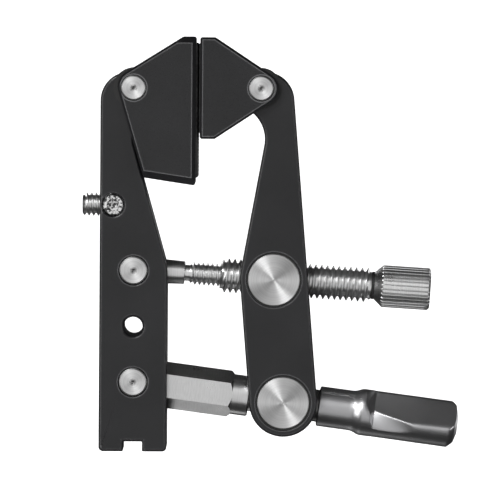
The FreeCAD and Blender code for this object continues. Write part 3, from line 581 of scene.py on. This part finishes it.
def jaw_pad(node, body, facing, material):
    """Rubber pad with staggered studs, crowned on the left jaw and hollow to match on the right.

    Facing is 1 where the pad looks towards +X, and -1 where it looks towards -X.
    """
    low, high = (Vector(corner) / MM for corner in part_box(node))
    pitch, depth, corner = 1.85, 0.38, 0.3
    seat, crest = (low.x, high.x) if facing > 0 else (high.x, low.x)
    crown, half = 0.31, (high.y - low.y) / 2
    rows = int((high.z - low.z) / pitch * 10)
    columns = int((high.y - low.y) / pitch * 6)

    def height(y, z):
        edge = min(z - low.z, high.z - z, y - low.y, high.y - y)
        across, up = math.pi * (y - low.y) / pitch, math.pi * (z - low.z) / pitch
        first = abs(math.sin(across) * math.sin(up))
        second = abs(math.cos(across) * math.cos(up))
        stud = max(first, second) ** 0.6
        swell = facing * crown * math.cos(math.pi * y / half / 2) ** 2
        return abs(crest - seat) + swell - depth * (1 - stud) - max(0, corner - edge)

    bm = bmesh.new()
    grid = []
    for i in range(rows + 1):
        z = low.z + (high.z - low.z) * i / rows
        ys = [low.y + (high.y - low.y) * j / columns for j in range(columns + 1)]
        line = [bm.verts.new((seat, low.y, z))]
        line += [bm.verts.new((seat + facing * height(y, z), y, z)) for y in ys]
        line += [bm.verts.new((seat, high.y, z))]
        grid.append(line)
    skin(bm, grid, closed=False)
    loose = [edge for edge in bm.edges if len(edge.link_faces) == 1]
    bmesh.ops.holes_fill(bm, edges=loose, sides=0)
    piece(f"{node}_studs", bm, Matrix.Identity(4), material, body, "rubber", node, smooth=50)


# ---- camera, light and stage -------------------------------------------------------------------


def camera():
    """Long lens, well away and a little above, turned slightly about its own axis."""
    distance, width = 1.75, 0.1359
    lean, height = math.radians(0.4), math.radians(1.9)
    aim = Vector((0.03165, -0.010, 0.0210))
    data = bpy.data.cameras.new("camera")
    data.sensor_width = 36
    data.lens = 36 * distance / width
    data.clip_start = 0.05
    obj = bpy.data.objects.new("camera", data)
    bpy.context.scene.collection.objects.link(obj)
    back = Vector((0, -math.cos(height), math.sin(height)))
    level = Vector((1, 0, 0))
    upright = back.cross(level)
    right = level * math.cos(lean) + upright * math.sin(lean)
    up = upright * math.cos(lean) - level * math.sin(lean)
    turn = Matrix((right, up, back)).transposed().to_4x4()
    obj.matrix_world = Matrix.Translation(aim + back * distance) @ turn
    bpy.context.scene.camera = obj


def softbox(name, place, width, height, brightness):
    """Rectangular light aimed at the clamp's middle."""
    aim = (0.035, 0, 0.02)
    data = bpy.data.lights.new(name, "AREA")
    data.shape = "RECTANGLE"
    data.size, data.size_y = width, height
    data.energy = math.pi * width * height * brightness
    obj = bpy.data.objects.new(name, data)
    bpy.context.scene.collection.objects.link(obj)
    obj.location = place
    obj.rotation_euler = (Vector(aim) - Vector(place)).to_track_quat("-Z", "Y").to_euler()
    return obj


def studio():
    world = bpy.data.worlds.new("studio")
    world.use_nodes = True
    world.node_tree.nodes["Background"].inputs[0].default_value = (1, 1, 1, 1)
    world.node_tree.nodes["Background"].inputs[1].default_value = 0.03
    bpy.context.scene.world = world
    bpy.context.scene.view_settings.view_transform = "Standard"
    softbox("front", (-0.05, -2.0, 0.0), 1.0, 3.4, 0.78)
    softbox("key", (-0.40, -0.85, 0.66), 0.34, 0.34, 18.0)
    softbox("left", (-1.0, -0.95, 0.12), 0.5, 0.8, 5.0)
    softbox("right", (1.2, -0.9, 0.12), 0.4, 0.8, 3.5)
    softbox("low", (-0.17, 0.42, -0.78), 0.3, 0.35, 0.7)
    softbox("rear_left", (-0.9, 1.4, 0.35), 0.7, 0.9, 2.2)
    softbox("rear_right", (1.0, 1.4, 0.2), 0.7, 0.9, 1.6)


def cyclorama():
    """Pale floor that curves up into the backdrop."""
    floor_z, back, side, radius = -0.16, 2.6, 3.0, 0.6
    outline = [(-2.5, floor_z), (back - radius, floor_z)]
    outline += [
        (back - radius + radius * math.sin(a), floor_z + radius - radius * math.cos(a))
        for a in (math.radians(7.5 * i) for i in range(1, 13))
    ]
    outline.append((back, 3.0))
    bm = bmesh.new()
    columns = [[bm.verts.new((x, y, z)) for y, z in outline] for x in (-side, side)]
    skin(bm, columns, closed=False)
    mesh = bpy.data.meshes.new("floor")
    bm.to_mesh(mesh)
    bm.free()
    obj = bpy.data.objects.new("floor", mesh)
    bpy.context.scene.collection.objects.link(obj)
    s = Shader("pale_floor")
    tone = s.mix(s.noise(s.place(), 3, 3), grey(0.90), grey(0.94))
    s.set(Base_Color=tone, Roughness=0.9, Emission_Color=tone, Emission_Strength=1.0)
    mesh.materials.append(s.material)
    obj.visible_glossy = False
    obj.visible_shadow = False


def paint(material, *names):
    for name in names:
        mesh = NODES[name].data
        mesh.materials.clear()
        mesh.materials.append(material)


def round_edges(name, width, plain):
    """Small rounding on the hard edges of a node of the frame, with its flat faces kept flat.

    A plain plate has its flat faces merged first, so that its edges can be rounded without a limit.
    """
    node = NODES[name]
    weld = node.modifiers.new("weld", "WELD")
    weld.merge_threshold = 0.001 * MM
    if plain:
        merge = node.modifiers.new("merge_flats", "DECIMATE")
        merge.decimate_type = "DISSOLVE"
        merge.angle_limit = math.radians(1)
    bevel = node.modifiers.new("round", "BEVEL")
    bevel.limit_method = "ANGLE"
    bevel.angle_limit = math.radians(35)
    bevel.width = width * MM
    bevel.segments = 4
    bevel.use_clamp_overlap = not plain
    normals = node.modifiers.new("flat_normals", "WEIGHTED_NORMAL")
    normals.weight = 100


def paint_frame():
    paint(anodised(), "left_arm", "right_arm", "left_jaw_shell", "right_jaw_shell")
    paint(bearing_plastic(), "upper_bushes", "lower_bushes", "left_jaw_washers", "right_jaw_washers",
          "knob_stop_ring")
    for place, names in (
        (UPPER_PIN, ("eye_washers", "arm_pin_screws")),
        (LOWER_PIN, ("hex_eye_washers",)),
        (LEFT_JAW_PIN, ("left_jaw_pin_screw",)),
        (RIGHT_JAW_PIN, ("right_jaw_pin_screw",)),
        (UPPER_BARREL, ("upper_barrel",)),
        (LOWER_BARREL, ("lower_barrel", "thrust_washers")),
    ):
        paint(turned_face(f"steel_{names[0]}", place), *names)
    rod_steel = turned_shaft("steel_rod", LOWER_BARREL, ROD_AXIS)
    paint(rod_steel, "hex_sleeve", "clamp_spindle")


camera()
studio()
cyclorama()
paint_frame()
round_edges("left_arm", 0.28, True)
round_edges("right_arm", 0.28, True)
round_edges("left_jaw_shell", 0.3, False)
round_edges("right_jaw_shell", 0.3, False)
accessory_stud()
adjuster_sleeve()
eye_bolt()
adjuster_knob()
clamp_handle()
pin("upper_pivot_pin", UPPER_PIN, "left_arm", 3.0, 3.0, 0.3, 0.35)
pin("lower_pivot_pin", LOWER_PIN, "left_arm", 3.0, 3.0, 0.3, 0.35)
pin("left_jaw_pin", LEFT_JAW_PIN, "left_arm", 1.5, 2.75, 0.3, 0.3)
pin("right_jaw_pin", RIGHT_JAW_PIN, "right_jaw_pin", 1.5, 2.75, 0.3, 0.3)
stud_lock_screw()
pad_rubber = rubber()
jaw_pad("left_jaw_pad", "left_jaw", 1, pad_rubber)
jaw_pad("right_jaw_pad", "right_jaw", -1, pad_rubber)
